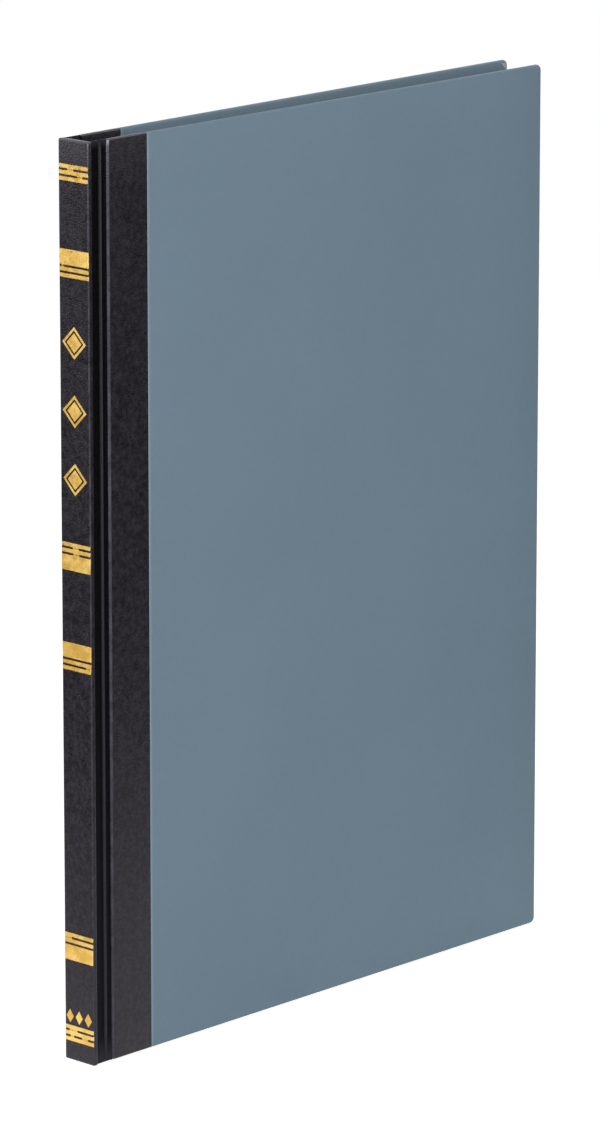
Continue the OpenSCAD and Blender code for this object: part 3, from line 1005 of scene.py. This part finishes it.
def spine_layer(name, near_x, far_x, margin, material, node):
    """A layer glued on the back of the sections"""
    low, high = (near_x, -BLOCK_Y, LEAF_Z + margin), (far_x, BLOCK_Y, HEAD_Z - margin)
    made = make_piece(pressed_sheet(low, high, LINING_RIM_R), name, material, [node])
    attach(made, "text_block")


def wound_band(name, end_z, up):
    """A bead of wound silk on the ends of the leaves, with its tape down the spine"""
    bm = bmesh.new()
    steps = 2 * STRIPE_THREADS * round(2 * SECTIONS_Y / BAND_STRIPE)
    ring = bmesh.ops.create_circle(bm, radius=BEAD_R * BAND_WAIST, segments=12)["verts"]
    bmesh.ops.rotate(bm, verts=ring, cent=(0, 0, 0), matrix=Matrix.Rotation(math.pi / 2, 3, "X"))
    middle = Vector((STITCH_AT + BEAD_R, -SECTIONS_Y, end_z + up * BEAD_R))
    bmesh.ops.translate(bm, vec=middle, verts=ring)
    edges = bm.edges[:]
    for step in range(steps):
        edges, ring = draw_out(bm, edges, (0, 2 * SECTIONS_Y / steps, 0))
        grow = BAND_WAIST if step % 2 else 1 / BAND_WAIST
        bmesh.ops.scale(bm, vec=(grow, 1, grow), verts=ring, space=Matrix.Translation(-middle))
    bmesh.ops.holes_fill(bm, edges=bm.edges, sides=0)
    bmesh.ops.recalc_face_normals(bm, faces=bm.faces)
    low_z, high_z = sorted((end_z, end_z - up * BAND_TAPE_L))
    low, high = (STITCH_AT, -SECTIONS_Y, low_z), (STITCH_AT + BAND_TAPE_T, SECTIONS_Y, high_z)
    gather(bm, pressed_sheet(low, high, LINING_RIM_R))
    made = make_piece(bm, f"{name}_wound", BAND_SILK, [name])
    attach(made, "text_block")


# Stamped gold: heights from the tail, and each band's strips from its top
LINE_W = 1.1
LINE_GAP = 0.65
BAR_W = 4.4
FOIL_HALF = CASE_Y - 0.18
FOIL_PROUD = 0.025
FOIL_T = 0.035
PANEL_TOP = CASE_H - 30.6
PANEL_FOOT = CASE_H - 113.4
BANDS = (
    (CASE_H - 6.9, ("line", "line", "line")),
    (PANEL_TOP, ("bar", "line", "line")),
    (PANEL_FOOT, ("line", "line", "bar")),
    (CASE_H - 142.0, ("bar", "line", "line")),
    (37.3, ("line", "line", "bar")),
    (10.2, ("line", "line", "line")),
)
BAND_DEPTH = BAR_W + 2 * (LINE_W + LINE_GAP)
# Places where foil has run over a gap: how far, how many in a gap, and their half widths
FOIL_RUN = 0.4
RUN_COUNTS = (0, 1, 1, 2)
RUN_HALVES = (0.25, 1.2)
# How ragged a strip's ends and edges are
RAGGED_END = 0.07
RAGGED_EDGE = 0.05

# Lozenges between the panel's bands and above the tail lines
LOZENGE = 9.2
LOZENGE_PITCH = 19.3
LOZENGE_BORDER = 0.7
LOZENGE_LINE = 0.55
TAIL_LOZENGE_W = 2.8
TAIL_LOZENGE_H = 4.0
TAIL_LOZENGE_PITCH = 3.6
TAIL_LOZENGE_AT = 12.9


def spine_skin(y):
    """How far the spine's face falls back at a distance from its middle"""
    past = abs(y) - (CASE_Y - SPINE_EDGE_R)
    return SPINE_EDGE_R - math.sqrt(SPINE_EDGE_R**2 - past**2) if past > 0 else 0.0


def foil_strip(bm, top, tall, above, below):
    """A strip of foil bent round the spine, whose edges swell where the foil has spread"""
    verts = bmesh.ops.create_grid(bm, x_segments=72, y_segments=1, size=0.5)["verts"]
    for vert in verts:
        along = 2 * vert.co.x
        ragged = random.uniform(-RAGGED_END, RAGGED_END) if abs(along) > 0.98 else 0.0
        y = along * FOIL_HALF + ragged
        upper = vert.co.y > 0
        swell = sum(FOIL_RUN * hump(y, *place, power=6) for place in (above if upper else below))
        swell += random.uniform(-RAGGED_EDGE, RAGGED_EDGE)
        swell = min(swell, FOIL_RUN)
        vert.co = (spine_skin(y) - FOIL_PROUD, y, top + swell if upper else top - tall - swell)


def finish_foil(bm, name, node):
    """Turns foil to face out from the spine, thickens it and makes it a piece"""
    bm.normal_update()
    for face in bm.faces:
        if face.normal.x > 0:
            face.normal_flip()
    thicken(bm, FOIL_T)
    made = make_piece(bm, name, GOLD, [node])
    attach(made, "text_block")


def gold_strips():
    """Thin lines and wider bars in bands across the spine"""
    meshes = {"line": bmesh.new(), "bar": bmesh.new()}
    talls = {"line": LINE_W, "bar": BAR_W}
    for top, strips in BANDS:
        above = []
        for n, kind in enumerate(strips):
            places = range(random.choice(RUN_COUNTS)) if n < len(strips) - 1 else ()
            below = [(random.uniform(-FOIL_HALF, FOIL_HALF), random.uniform(*RUN_HALVES)) for _ in places]
            foil_strip(meshes[kind], top, talls[kind], above, below)
            top -= talls[kind] + LINE_GAP
            above = below
    finish_foil(meshes["line"], "gold_line_foil", "gold_lines")
    finish_foil(meshes["bar"], "gold_bar_foil", "gold_bars")


def lozenge(bm, y, z, wide, tall):
    """A lozenge on the spine's face; gives its face"""
    ring = bmesh.ops.create_circle(bm, cap_ends=True, radius=0.5, segments=4)["verts"]
    bmesh.ops.rotate(bm, verts=ring, cent=(0, 0, 0), matrix=Matrix.Rotation(math.pi / 2, 3, "Y"))
    bmesh.ops.scale(bm, vec=(1, wide, tall), verts=ring)
    bmesh.ops.translate(bm, vec=(-FOIL_PROUD, y, z), verts=ring)
    return ring[0].link_faces[0]


def leave_line_open(bm, face):
    """Opens a fine line inside a lozenge's border"""
    bm.normal_update()
    for depth in (LOZENGE_BORDER, LOZENGE_LINE):
        settings = {"thickness": depth, "use_even_offset": True, "use_boundary": True}
        line = bmesh.ops.inset_region(bm, faces=[face], **settings)["faces"]
    bmesh.ops.delete(bm, geom=line, context="FACES_ONLY")


def gold_lozenges():
    """Three lined lozenges in the panel and three small ones above the tail lines"""
    bm = bmesh.new()
    panel_middle = (PANEL_TOP - BAND_DEPTH + PANEL_FOOT) / 2
    for n in (-1, 0, 1):
        leave_line_open(bm, lozenge(bm, 0, panel_middle + n * LOZENGE_PITCH, LOZENGE, LOZENGE))
        lozenge(bm, n * TAIL_LOZENGE_PITCH, TAIL_LOZENGE_AT, TAIL_LOZENGE_W, TAIL_LOZENGE_H)
    loose = [v for v in bm.verts if not v.link_faces]
    bmesh.ops.delete(bm, geom=loose, context="VERTS")
    finish_foil(bm, "gold_lozenge_foil", "gold_lozenges")


for side in ("front", "back"):
    board(side)
    paper_wrap(side)
    cloth_wrap(side)
    pasted_endpaper(side)
    mull_tab(side)
    groove_fold(side)
    endpaper_joint(side)
    free_endpaper(side)
    for inward in range(1, SECTIONS // 2 + 1):
        section(side, inward)
spine_wrap()
spine_layer("spine_lining_paper", LINING_AT, MULL_AT, LINING_MARGIN, KRAFT, "spine_lining")
spine_layer("spine_mull_cloth", MULL_AT, STITCH_AT, MULL_MARGIN, MULL, "spine_mull")
wound_band("head_band", HEAD_Z, 1)
wound_band("tail_band", LEAF_Z, -1)
gold_strips()
gold_lozenges()

# Solids that stay as they are, inside the book
for node, material in (("spine_strip", GREY_BOARD), ("sewing_thread", THREAD)):
    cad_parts[node].material_slots[0].material = material


# Stage, light and camera, in metres
FLOOR_HALF = 5.0
FLOOR_DROP = 0.00005
# Distances from the book over which its shadow and the floor's reflection fade
SHADOW_FADE = (0.5, 1.2)
REFLECTION_FADE = (0.06, 0.42)
WHITE = colour(1, 1, 1)


def seen_directly(graph):
    """1 for rays that show the background to the eye"""
    path = graph.add("LightPath").outputs
    return graph.math("MAXIMUM", path["Is Camera Ray"], path["Is Transmission Ray"])


def seen_in_gloss(graph):
    """1 for rays that a shiny surface mirrors"""
    return graph.add("LightPath").outputs["Is Glossy Ray"]


def floor_material():
    """Shows white with the book's soft shadow, and lights the book as plain grey"""
    made = bpy.data.materials.new("Pale floor")
    made.use_nodes = True
    graph = Graph(made.node_tree)
    made.node_tree.nodes.remove(made.node_tree.nodes["Principled BSDF"])
    plain = graph.add("BsdfDiffuse", {"Color": colour(0.8, 0.8, 0.8)}).outputs[0]
    faint = graph.add("BsdfDiffuse", {"Color": colour(0.7, 0.7, 0.7)}).outputs[0]
    glow = graph.add("Emission", {"Color": WHITE, "Strength": 0.68}).outputs[0]
    shaded = graph.add("AddShader", {0: faint, 1: glow}).outputs[0]
    place = graph.add("TexCoord").outputs["Object"]
    away = graph.add("VectorMath", {0: place}, operation="LENGTH").outputs["Value"]
    # Past the book's shadow the floor is plain white
    white = graph.add("Emission", {"Color": WHITE, "Strength": 1.0}).outputs[0]
    shown = graph.add("MixShader", {0: graph.ramp(away, *SHADOW_FADE), 1: shaded, 2: white}).outputs[0]
    # In reflections the floor is white near the book and falls off behind it
    near_white = graph.ramp(away, *REFLECTION_FADE, 1.0, 0.12)
    mirrored = graph.add("Emission", {"Color": WHITE, "Strength": near_white}).outputs[0]
    lit = graph.add("MixShader", {0: seen_in_gloss(graph), 1: plain, 2: mirrored}).outputs[0]
    mixed = graph.add("MixShader", {0: seen_directly(graph), 1: lit, 2: shown}).outputs[0]
    graph.fill(made.node_tree.nodes["Material Output"], {"Surface": mixed})
    return made


def pale_floor():
    """A floor just below the book"""
    bm = bmesh.new()
    bmesh.ops.create_grid(bm, x_segments=1, y_segments=1, size=FLOOR_HALF)
    bmesh.ops.translate(bm, vec=(0, 0, -FLOOR_DROP), verts=bm.verts)
    mesh = bpy.data.meshes.new("floor")
    bm.to_mesh(mesh)
    bm.free()
    mesh.materials.append(floor_material())
    floor = bpy.data.objects.new("floor", mesh)
    bpy.context.scene.collection.objects.link(floor)


def soft_world():
    """Dim all-round light that shows as white, also in reflections"""
    world = bpy.data.worlds.new("Studio")
    world.use_nodes = True
    bpy.context.scene.world = world
    graph = Graph(world.node_tree)
    light = world.node_tree.nodes["Background"]
    graph.fill(light, {"Color": WHITE, "Strength": 0.3})
    white = graph.add("Background", {"Color": WHITE, "Strength": 1.0}).outputs[0]
    shown = graph.math("MAXIMUM", seen_directly(graph), seen_in_gloss(graph))
    mixed = graph.add("MixShader", {0: shown, 1: light.outputs[0], 2: white}).outputs[0]
    graph.fill(world.node_tree.nodes["World Output"], {"Surface": mixed})


# Lamps: direction from the book, size and level; level 1 lights a facing surface as its colour is written
LAMP_DISTANCE = 4.0
LAMPS = {
    "key lamp": ((-0.9, -0.3, 0.28), 2.4, 0.62),
    "front lamp": ((-0.25, -0.9, 0.35), 2.8, 0.36),
    "back lamp": ((-0.5, 0.8, 0.3), 2.8, 0.38),
    "fore-edge lamp": ((0.95, 0.25, 0.3), 2.4, 0.3),
}


def soft_lamp(name, towards, size, level):
    """A square soft lamp that points at the middle of the book"""
    lamp = bpy.data.lights.new(name, "AREA")
    lamp.size = size
    lamp.energy = level * math.pi**2 * LAMP_DISTANCE**2
    made = bpy.data.objects.new(name, lamp)
    towards = Vector(towards).normalized()
    made.location = Vector((0, 0, CASE_H * MM / 2)) + towards * LAMP_DISTANCE
    made.rotation_euler = towards.to_track_quat("Z", "Y").to_euler()
    bpy.context.scene.collection.objects.link(made)


def photo_camera(azimuth, elevation, distance, aim, lens, shift_y):
    """A camera at the photograph's viewing angle; azimuth 0 looks along +Y"""
    data = bpy.data.cameras.new("camera")
    data.lens = lens
    data.sensor_width = 36.0
    data.shift_y = shift_y
    data.clip_end = 100.0
    camera = bpy.data.objects.new("camera", data)
    turn, rise = math.radians(azimuth), math.radians(elevation)
    back = Vector((math.sin(turn) * math.cos(rise), -math.cos(turn) * math.cos(rise), math.sin(rise)))
    camera.location = Vector(aim) + back * distance
    camera.rotation_euler = back.to_track_quat("Z", "Y").to_euler()
    bpy.context.scene.collection.objects.link(camera)
    bpy.context.scene.camera = camera


pale_floor()
soft_world()
for lamp_name, lamp in LAMPS.items():
    soft_lamp(lamp_name, *lamp)
photo_camera(
    azimuth=-47.074,
    elevation=11.451,
    distance=1.70716,
    aim=(-0.002733, 0.0, 0.200505),
    lens=188.962,
    shift_y=-0.22,
)
bpy.context.scene.view_settings.view_transform = "Standard"
